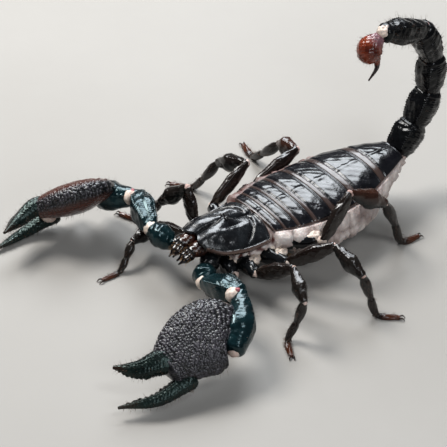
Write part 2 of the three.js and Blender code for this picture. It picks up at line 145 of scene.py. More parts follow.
MOVING_FINGER = dict(
    root=[17.2, -4.5], tip=[39, -3.9], outward=-2, behind=2, half=[2.9, 3.2, 2.5, 1.7, 0.5], deep=0.9,
)

TAIL = [
    [0, 61.3, 16.6], [-0.3, 68.1, 24.7], [-0.4, 73.6, 35.9],
    [-0.3, 73.4, 49.5], [0.5, 66.7, 62.9], [2, 48.2, 69.5],
]
TAIL_WIDE = [[9, 9.3, 9.1], [8.6, 9.1, 8.6], [8.1, 8.6, 8.1], [7.6, 8.2, 7.6], [7, 7.2, 5.8]]
TAIL_DEEP = [[8.7, 9.1, 8.8], [8.5, 9, 8.5], [8, 8.6, 8], [7.7, 8.3, 7.7], [7, 7.4, 5.6]]
TAIL_ENDS = (0.84, 0.93)

# ---- sizes of the detail that only the scene has ----

EYE_Y = -11.9
HEEL_EARLIER = 0.9
SEAM_HIDDEN = 0.26
BEAD = 1
BEAD_HEIGHT = 0.36
BEADS_REACH = 2.5
HAIR = 0.05
LEG_HAIR = 0.045
JAW_HAIR = 0.04

# ---- shape helpers ----


def arr(p):
    return np.asarray(p, float)


def unit(v):
    v = arr(v)
    return v / np.linalg.norm(v, axis=-1, keepdims=True)


def bell(x, centre, width):
    """A bell of height 1 round a centre."""
    return np.exp(-(((x - centre) / width) ** 2))


def past(x, edge, width):
    """0 up to the edge, then a rise to 1 over the width."""
    return np.clip((x - edge) / width, 0, 1)


def before(x, edge, width):
    """1, then a fall over the width to 0 at the edge."""
    return np.clip((edge - x) / width, 0, 1)


def apart(angle, place):
    """How far an angle is from a place round a section, from 0 to pi."""
    return np.abs((angle - place + pi) % (2 * pi) - pi)


def body(x, y, z):
    """Points of the body's own frame, which is lifted and pitched over the floor."""
    x, y, z = np.broadcast_arrays(arr(x), arr(y), arr(z))
    c, s = cos(PITCH), sin(PITCH)
    return np.stack([x, y * c - z * s, BASE_Z + y * s + z * c], -1)


def profile(*values):
    """A smooth function of 0 to 1 through equally spaced values."""
    v = arr(values)
    last = len(v) - 1

    def at(t):
        p = np.clip(arr(t), 0, 1) * last
        i = np.minimum(p.astype(int), last - 1)
        w = p - i
        p0, p1, p2, p3 = v[np.maximum(i - 1, 0)], v[i], v[np.minimum(i + 1, last)], v[np.minimum(i + 2, last)]
        a, b = (p2 - p0) / 2, (p3 - p1) / 2
        return (2 * p1 - 2 * p2 + a + b) * w**3 + (-3 * p1 + 3 * p2 - 2 * a - b) * w**2 + a * w + p1

    return at


class Line:
    """A centripetal Catmull-Rom curve through points."""

    def __init__(self, *points):
        self.p = arr(points)

    def at(self, t):
        p, last = self.p, len(self.p) - 1
        q = np.vstack([2 * p[0] - p[1], p, 2 * p[-1] - p[-2]])
        s = np.clip(arr(t), 0, 1) * last
        i = np.minimum(s.astype(int), last - 1)
        w = (s - i)[..., None]
        x0, x1, x2, x3 = q[i], q[i + 1], q[i + 2], q[i + 3]
        pairs = ((x0, x1), (x1, x2), (x2, x3))
        d = [np.sqrt(np.linalg.norm(b - a, axis=-1, keepdims=True)) + 1e-9 for a, b in pairs]
        m1 = ((x1 - x0) / d[0] - (x2 - x0) / (d[0] + d[1]) + (x2 - x1) / d[1]) * d[1]
        m2 = ((x2 - x1) / d[1] - (x3 - x1) / (d[1] + d[2]) + (x3 - x2) / d[2]) * d[1]
        return x1 + m1 * w + (3 * (x2 - x1) - 2 * m1 - m2) * w**2 + (2 * (x1 - x2) + m1 + m2) * w**3

    def tangent(self, t):
        t = np.clip(arr(t), 1e-4, 1 - 1e-4)
        return unit(self.at(t + 1e-4) - self.at(t - 1e-4))


def rim(angle, half, up, down, square):
    """A point on a superellipse: the angle runs from the top towards the side."""
    s, c = np.sin(angle), np.cos(angle)
    k = 2 / square
    return half * np.sign(s) * np.abs(s) ** k, np.where(c > 0, up, down) * np.sign(c) * np.abs(c) ** k


class Shape:
    """Points in millimetres, faces, and the mask and rise that its material reads."""

    def __init__(self, points, faces, mask=0, rise=1):
        self.points = arr(points).reshape(-1, 3)
        self.faces = faces
        self.values = [np.broadcast_to(arr(v).reshape(-1), len(self.points)) for v in (mask, rise)]

    def __add__(self, other):
        n = len(self.points)
        faces = self.faces + [tuple(i + n for i in f) for f in other.faces]
        return Shape(np.vstack([self.points, other.points]), faces, *np.hstack([self.values, other.values]))


def grid_faces(rows, columns, wrap):
    """Quads of a grid of points, rows by columns. With wrap it is joined round and closed at both ends."""
    faces = []
    for r in range(rows - 1):
        for c in range(columns if wrap else columns - 1):
            d = (c + 1) % columns
            faces.append((r * columns + c, r * columns + d, (r + 1) * columns + d, (r + 1) * columns + c))
    if wrap:
        last = (rows - 1) * columns
        faces += [tuple(range(columns - 1, -1, -1)), tuple(last + c for c in range(columns))]
    return faces


def section_angles(sides):
    return np.arange(sides) * 2 * pi / sides


class Tube:
    """A closed surface along a curve: top says which way is up, and half, up and down are its radii."""

    CAP_STEPS = (0.35, 0.65, 0.88)

    def __init__(self, path, top, half, up, down=None, square=2.2):
        self.path, self.top, self.half, self.up = path, unit(top), half, up
        self.down = down or up
        self.square = square

    def frame(self, t):
        """The directions to the side and up, square to the curve."""
        along = self.path.tangent(t)
        side = unit(np.cross(self.top, along))
        return side, np.cross(along, side)

    def point(self, t, angle):
        t, angle = np.broadcast_arrays(arr(t), arr(angle))
        side, lift = self.frame(t)
        a, b = rim(angle, self.half(t), self.up(t), self.down(t), self.square)
        return self.path.at(t) + side * a[..., None] + lift * b[..., None]

    def normal(self, t, angle):
        """The way out at a point, from the section alone."""
        side, lift = self.frame(t)
        e = 0.01
        a0, b0 = rim(angle - e, self.half(t), self.up(t), self.down(t), self.square)
        a1, b1 = rim(angle + e, self.half(t), self.up(t), self.down(t), self.square)
        out = unit(np.stack([-(b1 - b0), a1 - a0], -1) + 1e-12)
        return side * out[..., :1] + lift * out[..., 1:]

    def dome(self, t, edge, height):
        """Rings that close an end by a low dome."""
        centre = edge.mean(0)
        along = self.path.tangent(t) * height * np.linalg.norm(edge - centre, axis=1).mean()
        turns = [k * pi / 2 for k in self.CAP_STEPS]
        rings = [centre + (edge - centre) * cos(k) + along * sin(k) for k in turns]
        return np.array(rings + [centre + along + (edge - centre) * 0.01])

    def shape(self, sides, rings, relief=None, mask=None, cap=0.35, angles=None, rise=None):
        """The surface with relief(t, angle) added outwards, and its two ends closed."""
        angles = section_angles(sides) if angles is None else angles
        t, angle = np.meshgrid(np.linspace(0, 1, rings + 1), angles, indexing="ij")
        points = self.point(t, angle)
        if relief:
            points = points + self.normal(t, angle) * relief(t, angle)[..., None]
        ends = self.dome(0, points[0], -cap)[::-1], self.dome(1, points[-1], cap)
        points = np.concatenate([ends[0], points, ends[1]])
        extra = ((len(ends[0]), len(ends[1])), (0, 0))
        values = mask(t, angle) if mask else np.zeros(t.shape), np.ones(t.shape) if rise is None else rise
        faces = [f[::-1] for f in grid_faces(len(points), sides, True)]
        return Shape(points, faces, *(np.pad(v, extra, mode="edge") for v in values))


def bone(start, end, wide, deep, top=(0, 0, 1), bow=(0, 0), square=2.3, ends=LIMB_ENDS):
    """A limb piece between two joints, bowed sideways and up by shares of its length."""
    start, end = arr(start), arr(end)
    length = np.linalg.norm(end - start)
    side = unit(np.cross(top, end - start))
    lift = np.cross(unit(end - start), side)
    middle = (start + end) / 2 + (side * bow[0] + lift * bow[1]) * length

    def sized(near, mid, far):
        return profile(ends[0] * near / 2, near / 2, (near + mid) / 4, mid / 2, far / 2, ends[1] * far / 2)

    return Tube(Line(start, middle, end), lift, sized(*wide), sized(*deep), square=square)


def plate(outer, inner, across, lengthwise, mask=None):
    """A closed plate: outer(u, v) and inner(u, v) are its faces for u from -1 to 1 and v from 0 to 1."""
    u, v = np.meshgrid(np.linspace(-1, 1, across + 1), np.linspace(0, 1, lengthwise + 1), indexing="xy")
    rows, columns = u.shape
    faces, n = grid_faces(rows, columns, False), u.size
    back = [tuple(i + n for i in f[::-1]) for f in faces]
    grid = np.arange(n).reshape(u.shape)
    edge = np.concatenate([grid[0], grid[1:, -1], grid[-1, -2::-1], grid[-2:0:-1, 0]]).tolist()
    walls = [(b, a, a + n, b + n) for a, b in zip(edge, edge[1:] + edge[:1])]
    points = np.concatenate([outer(u, v).reshape(-1, 3), inner(u, v).reshape(-1, 3)])
    return Shape(points, faces + back + walls, np.tile(mask(u, v).ravel(), 2) if mask else 0)


def added(name, data):
    """A new object of the scene."""
    obj = bpy.data.objects.new(name, data)
    bpy.context.scene.collection.objects.link(obj)
    return obj


def piece(name, shape, material, nodes=()):
    """A Blender object from a shape, riding on the body and standing for its CAD nodes."""
    mesh = bpy.data.meshes.new(name)
    mesh.from_pydata(((shape.points - CENTRE) / 1000).tolist(), [], shape.faces)
    mesh.validate()
    for key, values in zip(("mask", "rise"), shape.values):
        mesh.attributes.new(key, "FLOAT", "POINT").data.foreach_set("value", values.astype(np.float32))
    mesh.shade_smooth()
    mesh.materials.append(material)
    obj = added(name, mesh)
    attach(obj, "root")
    if nodes:
        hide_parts(*nodes)
    return obj


# ---- materials ----


class Nodes:
    """The nodes of a new material, with textures laid out in the object's own coordinates."""

    def __init__(self, name):
        self.material = bpy.data.materials.new(name)
        self.material.use_nodes = True
        self.tree = self.material.node_tree
        self.shader = self.tree.nodes["Principled BSDF"]
        self.where = self.add("TexCoord", "Object")

    def fill(self, node, values):
        for key, value in values.items():
            node.inputs[key].default_value = value

    def link(self, node, sources):
        for key, source in sources.items():
            self.tree.links.new(source, node.inputs[key])

    def add(self, kind, output, sources=None, fields=None, **values):
        """One output of a new node with these linked sources, fields and values of its inputs."""
        node = self.tree.nodes.new("ShaderNode" + kind)
        for key, value in (fields or {}).items():
            setattr(node, key, value)
        self.fill(node, values)
        self.link(node, sources or {})
        return node.outputs[output]

    def noise(self, per_metre, **values):
        return self.add("TexNoise", "Fac", {"Vector": self.where}, Scale=per_metre, **values)

    def attribute(self, name):
        return self.add("Attribute", "Fac", fields={"attribute_name": name})

    def ramp(self, value, low, high, dark, light):
        colour = self.add("ValToRGB", "Color", {"Fac": value})
        for stop, place, shade in zip(colour.node.color_ramp.elements, (low, high), (dark, light)):
            stop.position = place
            stop.color = (*shade, 1)
        return colour

    def bumped(self, layers):
        """The normal after a chain of layers, each a scale per metre and a height in millimetres.

        A layer is of noise, and a third word makes it of pits.
        """
        normal = {}
        for per_metre, height, *pits in layers:
            if pits:
                field = self.add("TexVoronoi", "Distance", {"Vector": self.where}, Scale=per_metre)
            else:
                field = self.noise(per_metre, Detail=4)
            sources = {"Height": field, **normal}
            normal = {"Normal": self.add("Bump", "Normal", sources, Distance=height / 1000)}
        return normal


COAT_ROUGHNESS = 0.12
SKIN_DEPTHS = (0.002, 0.001, 0.0006)


def surface(
    name, dark, light, soft=None, rough=(0.25, 0.1), scale=220, bumps=(), coat=0, tint=None,
    skin=0, groove_shade=False, gloss=0.32,
):
    """A shell or skin whose dark and light colours are mixed by noise of this scale per metre.

    The soft colour comes in where a mesh's mask is high. With groove shade, the grooves between granules get
    painted shade and the granule tops the light colour as a painted highlight.
    """
    nodes = Nodes(name)
    field = nodes.noise(scale, Detail=6, Roughness=0.6)
    if groove_shade:
        # painted shade in the grooves: the colour follows the height of the granules
        factors = {0: field, 1: nodes.attribute("rise")}
        field = nodes.add("Math", "Value", factors, {"operation": "MULTIPLY"})
    colour = nodes.ramp(field, 0.1 if groove_shade else 0.38, 0.66, dark, light)
    if soft:
        fine = nodes.noise(scale * 3, Detail=4)
        shade = nodes.ramp(fine, 0.3, 0.7, tuple(c * 0.8 for c in soft), soft)
        parts = {"Factor": nodes.attribute("mask"), "A": colour, "B": shade}
        colour = nodes.add("Mix", "Result", parts, {"data_type": "RGBA"})
    middle, spread = rough
    limits = {"To Min": middle - spread, "To Max": middle + spread}
    roughness = nodes.add("MapRange", "Result", {"Value": nodes.noise(scale * 4, Detail=3)}, **limits)
    nodes.link(nodes.shader, {"Base Color": colour, "Roughness": roughness, **nodes.bumped(bumps)})
    settings = {"Specular IOR Level": gloss, "Coat Weight": coat, "Coat Roughness": COAT_ROUGHNESS}
    if tint:
        settings["Specular Tint"] = (*tint, 1)
    if skin:
        settings.update({"Subsurface Weight": skin, "Subsurface Radius": SKIN_DEPTHS})
    nodes.fill(nodes.shader, settings)
    return nodes.material


SHELL = surface(
    "shell_black", (0.002, 0.002, 0.0025), (0.005, 0.006, 0.007), soft=(0.13, 0.035, 0.014),
    rough=(0.15, 0.07), bumps=((420, 0.12), (1500, 0.035), (1700, 0.02, "pits")), coat=0.1,
)
TAIL_SHELL = surface(
    "tail_shell", (0.0015, 0.0015, 0.002), (0.004, 0.0045, 0.005), soft=(0.1, 0.03, 0.012),
    rough=(0.17, 0.08), bumps=((420, 0.1), (1500, 0.03)), gloss=0.22,
)
PLATE = surface(
    "back_plate", (0.002, 0.002, 0.003), (0.007, 0.007, 0.009), soft=(0.24, 0.15, 0.12), rough=(0.18, 0.1),
    bumps=((260, 0.09), (1100, 0.03), (1500, 0.02, "pits")), coat=0.1,
)
SHIELD = surface(
    "carapace", (0.002, 0.002, 0.003), (0.01, 0.012, 0.014), soft=(0.24, 0.15, 0.12), rough=(0.24, 0.16),
    bumps=((240, 0.16), (1100, 0.05), (1500, 0.03, "pits")), coat=0.1, gloss=0.42,
)
# The pale violet-grey light colour is a painted sheen on the granule tops, the grooves get painted shade, and
# the soft colour is a painted reddish reflection on the right hand.
HAND = surface(
    "hand_shell", (0.006, 0.006, 0.007), (0.04, 0.036, 0.044), soft=(0.055, 0.012, 0.006),
    rough=(0.25, 0.08), bumps=((900, 0.04),), coat=0.15, groove_shade=True,
)
PALP = surface(
    "palp_shell", (0.001, 0.004, 0.005), (0.003, 0.014, 0.017), soft=(0.12, 0.04, 0.02), rough=(0.19, 0.08),
    bumps=((500, 0.14), (1500, 0.04, "pits")), coat=0.1, tint=(0.62, 0.94, 1),
)
FINGER = surface(
    "finger_shell", (0.001, 0.002, 0.002), (0.003, 0.007, 0.006), soft=(0.06, 0.02, 0.01),
    rough=(0.27, 0.09), bumps=((800, 0.15), (1400, 0.06, "pits")), tint=(0.7, 0.95, 0.9), gloss=0.3,
)
LEG = surface(
    "leg_shell", (0.002, 0.003, 0.003), (0.007, 0.009, 0.008), soft=(0.1, 0.028, 0.012),
    rough=(0.18, 0.08), bumps=((600, 0.1), (1600, 0.02, "pits")), coat=0.1,
)
CHELICERA = surface(
    "chelicera_shell", (0.014, 0.005, 0.004), (0.075, 0.024, 0.013), soft=(0.004, 0.003, 0.003),
    rough=(0.22, 0.06), bumps=((900, 0.1),), coat=0.35,
)
# The dark soft colour gives the belly and the seams, and painted shade on the far flank, in the fold hollows
# and under the carapace.
SKIN = surface(
    "soft_skin", (0.34, 0.27, 0.25), (0.66, 0.59, 0.55), soft=(0.09, 0.03, 0.024), rough=(0.4, 0.12),
    scale=150, bumps=((500, 0.5), (1800, 0.15)), skin=0.12,
)
JOINT = surface(
    "joint_skin", (0.4, 0.31, 0.26), (0.72, 0.63, 0.54), soft=(0.34, 0.03, 0.07), rough=(0.34, 0.1),
    scale=300, bumps=((900, 0.3),), skin=0.12,
)
EYE = surface("eye_lens", (0.002, 0.002, 0.002), (0.006, 0.005, 0.005), rough=(0.06, 0.03), coat=0.6)
BULB = surface(
    "venom_bulb", (0.055, 0.006, 0.002), (0.21, 0.032, 0.008), soft=(0.2, 0.1, 0.12), rough=(0.24, 0.08),
    bumps=((700, 0.2), (1300, 0.08, "pits")), coat=0.3, skin=0.05,
)
STING = surface(
    "sting", (0.006, 0.003, 0.003), (0.022, 0.007, 0.005), soft=(0.2, 0.035, 0.012), rough=(0.2, 0.05),
    coat=0.4,
)
COMB = surface(
    "comb", (0.3, 0.2, 0.12), (0.5, 0.38, 0.25), rough=(0.4, 0.1), bumps=((1500, 0.1),),
)
BRISTLE = surface(
    "bristle", (0.02, 0.009, 0.005), (0.11, 0.045, 0.02), rough=(0.42, 0.1),
)
GOLD = surface(
    "golden_bristle", (0.12, 0.055, 0.02), (0.36, 0.2, 0.09), rough=(0.4, 0.1),
)

# ---- granules and bristles ----


def ripple(points, size, turn=0):
    """Smooth unevenness from about -1 to 1 with lumps this many millimetres across."""
    x, y, z = np.moveaxis(points / size * pi, -1, 0)
    total = np.sin(1.3 * x + 0.7 * y + 0.4 * z + turn) + np.sin(1.1 * y - 0.8 * z + 0.5 * x + 2.1 + turn)
    total = total + np.sin(1.2 * z - 0.9 * x + 0.6 * y + 4.2 - turn)
    total = total + 0.6 * np.sin(2.3 * x - 1.9 * y + 1.7 * z + turn)
    return total / 3.6


def lengths_round(tube, t, angles):
    """How far round a tube's section each angle is, from the first one."""
    ring = tube.point(np.full(len(angles), t), angles)
    return np.concatenate([[0], np.cumsum(np.linalg.norm(np.diff(ring, axis=0), axis=1))])


def even_angles(tube, sides, t=0.5):
    """Angles that step round a tube's section by equal lengths."""
    fine = section_angles(1440)
    length = lengths_round(tube, t, fine)
    return np.interp(np.arange(sides) / sides * length[-1], length, fine)


def bead_rows(tube, spacing, jitter=0.28):
    """Places for granules in staggered rows all over a tube but its underside."""
    fine = section_angles(720)
    along = np.linspace(0, 1, 200)
    length = np.linalg.norm(np.diff(tube.path.at(along), axis=0), axis=1).sum()
    count = int(length / (spacing * 0.87))
    kept = []
    for k in range(count):
        t = (k + 0.5) / count
        reach = lengths_round(tube, t, fine)
        number = max(int(reach[-1] / spacing), 3)
        at = (np.arange(number) + 0.5 * (k % 2) + rng.uniform(-jitter, jitter, number)) / number * reach[-1]
        angle = np.interp(at % reach[-1], reach, fine)
        tt = np.clip(t + rng.uniform(-jitter, jitter, number) / count, 0, 1)
        kept.append(tube.point(tt, angle)[apart(angle, 0) < BEADS_REACH])
    return np.concatenate(kept)


def bead_relief(points, centres, radius, height):
    """How far each point stands out over the nearest granule."""
    tree = KDTree(len(centres))
    for i, centre in enumerate(centres):
        tree.insert(centre, i)
    tree.balance()
    share = rng.uniform(0.65, 1.1, len(centres))
    flat = points.reshape(-1, 3)
    out = np.zeros(len(flat))
    for i, point in enumerate(flat):
        _, index, distance = tree.find(point)
        if distance < radius * share[index]:
            out[i] = height * share[index] * sqrt(1 - (distance / (radius * share[index])) ** 2)
    return out.reshape(points.shape[:-1])


class Bristles:
    """Thin bristles joined into one mesh, with a small patch of the bake map for each."""

    RINGS = 3
    CORNERS = (0, 2.094, 4.189)
    ROOT_SUNK = 0.05
    TAPER = 0.85
    FLOOR = 0.05
    PATCH = 0.003

    def __init__(self):
        self.points, self.patches = [], []
        self.cell = 0

    def on_tube(self, tube, count, length, radius, t=(0.05, 0.95), angle=(-pi, pi), lean=0.5):
        """Bristles over a tube's ranges of t and angle, which lean towards its far end."""
        t, angle = rng.uniform(*t, count), rng.uniform(*angle, count)
        roots, out = tube.point(t, angle), tube.normal(t, angle)
        ways = unit(out + tube.path.tangent(t) * lean + rng.normal(0, 0.16, (count, 3)))
        lengths = length * rng.uniform(0.55, 1.2, count)[:, None]
        side = unit(np.cross(ways, [0.31, 0.52, 0.79]) + 1e-9)
        lift = np.cross(ways, side)
        rows = []
        for k in range(self.RINGS + 1):
            share = k / self.RINGS
            centre = roots + ways * lengths * (share - self.ROOT_SUNK)
            size = radius * (1 - self.TAPER * share)
            rows += [centre + (side * cos(q) + lift * sin(q)) * size for q in self.CORNERS]
        self.points.append(np.stack(rows, 1))
        uv = np.stack([(angle % (2 * pi)) / (2 * pi), t], -1)
        place = np.stack(np.divmod(self.cell, 8), 0)[::-1] / 8 + 0.005
        self.patches.append(place + np.clip(uv, 0, 1) * 0.11)
        self.cell += 1

    def piece(self, name, material, slot):
        """The one mesh. A bristle that would reach through the floor lies on it."""
        points, patches = np.concatenate(self.points), np.concatenate(self.patches)
        points[..., 2] = np.maximum(points[..., 2], self.FLOOR)
        n, per = points.shape[:2]
        faces = grid_faces(self.RINGS + 1, 3, True)
        whole = [tuple(v + i * per for v in f) for i in range(n) for f in faces]
        obj = piece(name, Shape(points, whole), material)
        across = np.tile([[0, 0], [0.5, 1], [1, 0]], (self.RINGS + 1, 1)) * [1, 0.2]
        across[:, 1] += np.repeat(np.arange(self.RINGS + 1) / self.RINGS * 0.8, 3)
        corner = patches[:, None] + across[None] * self.PATCH
        layer = obj.data.uv_layers.new(name="OFBake")
        index = np.empty(len(obj.data.loops), np.int32)
        obj.data.loops.foreach_get("vertex_index", index)
        layer.data.foreach_set("uv", corner.reshape(-1, 2)[index].astype(np.float32).ravel())


dark_hairs, gold_hairs = Bristles(), Bristles()
membranes = []


def ball(centre, radius, squash=(1, 1, 1), sides=28, rings=18, mask=0, lumps=0):
    """A rounded body, with lumps for the creases of soft skin."""
    b = np.linspace(0.02, pi - 0.02, rings)
    bb, aa = np.meshgrid(b, section_angles(sides), indexing="ij")
    way = np.stack([np.sin(bb) * np.cos(aa), np.sin(bb) * np.sin(aa), np.cos(bb)], -1)
    points = arr(centre) + way * radius * arr(squash)
    if lumps:
        points = points + way * (lumps * ripple(points, 1.1))[..., None]
    return Shape(points, [f[::-1] for f in grid_faces(rings, sides, True)], mask)


def joint(centre, radius, squash=(1, 1, 1), mask=0, lumps=0.16):
    """Soft skin that fills the gap between two limb pieces."""
    membranes.append(ball(centre, radius, squash, mask=mask, lumps=lumps))


# ---- trunk, carapace and back plates ----

half_width, crest, belly = profile(*HALF_WIDTHS), profile(*CREST), profile(*BELLY)
girth_level, bulge = profile(*GIRTH_LEVEL), profile(*BULGE)


def flank(y, angle, depth=0):
    """A point of the back's outline: y along the body, angle from the crest, depth inwards."""
    t = arr(y) / BACK_LENGTH
    middle = girth_level(t)
    up, down = crest(t) - middle - depth, middle - belly(t) - depth
    x, z = rim(angle, half_width(t) - depth, up, down, BODY_SQUARE)
    return body(x, y, middle + z)


def swollen(y, angle, depth=0):
    """The same outline with the soft flank's swelling, past the back plates' edge."""
    turn = np.abs(np.arctan2(np.sin(angle), np.cos(angle)))
    share = np.maximum((turn - PLATE_REACH) / (pi - PLATE_REACH), 0)
    return flank(y, angle, depth - bulge(arr(y) / BACK_LENGTH) * np.sin(pi * share))


def folds(y, angle):
    """Creases of the soft flank: upright folds that fan out, with finer wrinkles between them."""
    side = past(np.abs(angle), PLATE_REACH, 0.3) * before(np.abs(angle), 2.75, 0.4)
    wave = np.sin(y * 0.95 + 1.1 * np.sin(angle * 3 + y * 0.2)) + 0.5 * np.sin(y * 2.1 + angle * 4)
    fine = 0.25 * np.sin(y * 5.1 + angle * 9 + 2 * np.sin(y * 0.7))
    crease = -0.5 * bell(np.sin(y * 0.44 + 0.5 + 0.3 * np.sin(angle * 5)), 0, 0.16)
    tuck = -0.9 * bell(np.abs(angle), 1.62 + 0.1 * np.sin(y * 0.3), 0.07) * past(y, 2, 4)
    return side * (0.34 * wave + fine * 0.5 + 1.5 * crease + tuck - 0.25)


def ring_places():
    """Places along the trunk for its rings, which crowd at the seams between the back plates."""
    places = np.linspace(BREAST_FROM, BACK_LENGTH - 0.6, 200)
    for seam in PLATE_ENDS[1:-1]:
        places = places[(places < seam - SEAM - 0.2) | (places > seam + 0.2)]
        places = np.append(places, seam + np.array([-0.62, -0.46, -0.36, -0.25, -0.14, -0.04, 0.12]))
    return np.sort(places)


def breast(y, angle):
    """The narrow front of the trunk, between the leg bases."""
    s = 1 - y / BREAST_FROM
    x, z = rim(angle, 9 + 3.6 * s, 4.7 + 1.3 * s, 2.4 + 0.8 * s, 2.1)
    return body(x, y, 1.6 - 1.3 * s + z)


def skin_mask(y, signed, points, covered, lumps):
    """Where the skin is dark: the belly and the seams, and painted shade on the far flank, in the hollows
    between the folds and in the hollows of the lumps under the carapace.
    """
    # painted shade on the far flank
    far_flank_shade = past(-signed, 0.9, 0.3) * before(-signed, 2.2, 0.5)
    mask = 0.75 * far_flank_shade * (y > 0) + 0.35 * past(np.abs(signed), 2.3, 0.4)
    mask = mask + 0.25 * bell(np.abs(signed), PLATE_REACH + 0.12, 0.06)
    mask = mask + 0.25 * np.clip(ripple(points, 4), 0, 1)
    # painted shade in the hollows between the folds
    mask = mask + 0.5 * covered + 0.35 * np.clip(-folds(y, signed) - 0.5, 0, 1)
    # in front, under the carapace, the skin gets painted shade, darkest in the hollows between the lumps and
    # pale on their tops
    return np.where((y < 0) & (np.abs(signed) > 0.7), np.clip(0.45 - 1.5 * lumps, 0, 1), mask)


def trunk():
    """The one skin of the soft body, sunk under the back plates and risen into the seams between them."""
    sides = 120
    places = ring_places()
    y, angle = np.meshgrid(places, section_angles(sides), indexing="ij")
    signed = np.where(angle > pi, angle - 2 * pi, angle)
    seam_fill = np.zeros(y.shape)
    for seam in PLATE_ENDS[1:-1]:
        seam_fill = np.maximum(seam_fill, bell(y, seam - SEAM / 2, 0.2))
    covered = before(np.abs(signed), PLATE_REACH + 0.1, 0.04)
    under = covered * (PLATE_THICK + 0.45 - 0.7 * seam_fill)
    back = swollen(np.maximum(y, 0), angle, under - folds(y, signed))
    front = breast(y, angle)
    lumps = ripple(front, 1.7) * past(np.abs(signed), 0.7, 0.3)
    front = front * (1 + 0.045 * lumps[..., None] * arr([1, 0, 0]))
    blend = past(y, -0.8, 1.6)[..., None]
    points = front * (1 - blend) + back * blend
    mask = skin_mask(y, signed, points, covered, lumps)
    return Shape(points, grid_faces(len(places), sides, True), mask)


piece("soft_body", trunk(), SKIN, ["trunk"])

carapace_half = profile(6.4, 9, 10.4, 11, 11.4, 11.6)
carapace_top = profile(9.4, 10.3, 10.8, 10.2, 9.3, 8.6)
carapace_drop = profile(2.2, 4.6, 5.8, 5.8, 4.8, 3.6)


def carapace_relief(x, y, z, u, v):
    """The carapace's height with its fine forms added, from the eyes to the rims."""
    far = np.abs(x)
    z = z + 1.1 * bell(far, 0, 2) * bell(y, EYE_Y, 2.4)  # eye mound
    z = z - 0.9 * bell(far, 0, 0.45) * np.clip(bell(y, EYE_Y - 7.5, 4.2), 0, 1)  # front furrow
    z = z - 0.6 * bell(far, 0, 0.4) * bell(y, EYE_Y + 7.5, 4.5)  # rear furrow
    z = z + 0.55 * bell(far, 4.2, 2.3) * bell(y, -19.5, 4.2)  # front lobes
    z = z - 0.55 * bell(far, 3.6, 0.8) * bell(y, EYE_Y + 0.5, 3.4)  # hollows beside the eyes
    arc = np.hypot(far - 0.5, (y + 13.5) * 0.92)
    z = z - 0.8 * bell(arc, 9.6, 0.55) * past(y, -10.5, 3) * past(far, 0.6, 1.5)  # curved rear furrows
    z = z - 0.5 * bell(arc, 7.4, 0.7) * past(-y, 12.5, 3) * past(far, 4.5, 2)  # curved side furrows
    z = z + 0.45 * bell(far, 5.2, 2.6) * bell(y, -4.8, 2.8)  # rear lobes
    z = z + 0.3 * bell(np.abs(u), 0.975, 0.025) - 0.25 * bell(np.abs(u), 0.92, 0.03)  # side rims
    z = z + 0.25 * bell(v, 0.985, 0.012) - 0.25 * bell(v, 0.955, 0.015)  # rear rim
    return z + 0.1 * ripple(np.stack([x, y, z], -1), 2.2) * np.clip(far / 5, 0.3, 1)


def carapace_at(u, v, depth=0, detail=True):
    """A point of the carapace: u from -1 to 1 across it, v from its front edge to its rear one."""
    notch = NOTCH * np.exp(-((u / 0.28) ** 2))
    lobe = 1.6 * np.abs(u) ** 3
    front = -CARAPACE + (notch + lobe) * (1 - v) ** 2
    rear = -0.2 - 1.4 * np.abs(u) ** 3
    y = front + (rear - front) * v
    x = u * (carapace_half(v) - depth * 0.4)
    furrow = 0.5 * np.exp(-((u / 0.1) ** 2))
    z = carapace_top(v) - carapace_drop(v) * np.abs(u) ** 2.6 - furrow - depth
    return body(x, y, carapace_relief(x, y, z, u, v) if detail else z)


carapace = plate(
    carapace_at, lambda u, v: carapace_at(u, v, CARAPACE_THICK, False),
    200, 190,
    mask=lambda u, v: 0.6 * past(np.abs(u), 0.95, 0.05) + 0.8 * past(v, 0.985, 0.015),
)
piece("carapace_shell", carapace, SHIELD, ["carapace"])


def back_plate(i):
    """One of the seven plates, with a front ridge, a rear lip, a low keel and soft dimples."""
    low, high = PLATE_ENDS[i], PLATE_ENDS[i + 1] - (SEAM - SEAM_HIDDEN if i < 6 else SEAM)
    length = high - low
    turn = i * 1.7

    def at(u, v, depth=0):
        return flank(low + v * length, u * PLATE_REACH, depth)

    def outer(u, v):
        y = v * length
        edge = before(np.abs(u), 1, 0.06) ** 0.5
        rise = 0.34 * np.sin(pi * np.clip(v, 0, 1)) ** 0.7 * edge
        ridge = -0.34 * bell(y, 0.16 * length + 0.25, 0.16 + 0.02 * length) * edge
        lip = 0.14 * bell(y, length - 0.25, 0.22) - 0.12 * bell(y, length - 0.75, 0.25)
        keel = 0.2 * bell(u, 0, 0.035) * np.sin(pi * v)
        place = at(u, v)
        dimple = 0.12 * ripple(place, 3.2, turn) * edge * np.sin(pi * v)
        grain = 0.03 * ripple(place, 0.7, turn) * past(np.abs(u), 0.35, 0.3) * past(v, 0.3, 0.2)
        return at(u, v, -(rise + ridge + lip + keel + dimple + grain))

    def tint(u, v):
        front = 0.16 * before(v * length, 0.16 * length + 0.2, 0.25)
        rear = 0.25 * past(v * length, length - 0.16, 0.1)
        return front + rear + 0.6 * past(np.abs(u), 0.965, 0.035)

    return plate(outer, lambda u, v: at(u, v, PLATE_THICK), 150, max(int(length / 0.2), 24), tint)


for i in range(7):
    piece(f"back_plate_{i + 1}", back_plate(i), PLATE, [f"tergite_{i + 1}"])


def belly_at(u, v, out):
    """A point of the belly plates, which overlap in five low steps."""
    y = 12 + v * 45
    step = 0.3 * ((v * 5) % 1)
    return swollen(y, pi + u * 0.72, -out - step * (out > 0))


belly_plates = plate(lambda u, v: belly_at(u, v, 0.1), lambda u, v: belly_at(u, v, -0.7), 40, 80)
piece("belly_plates", belly_plates, SHELL, ["sternites"])

# ---- underside of the front body, jaws, eyes and combs ----


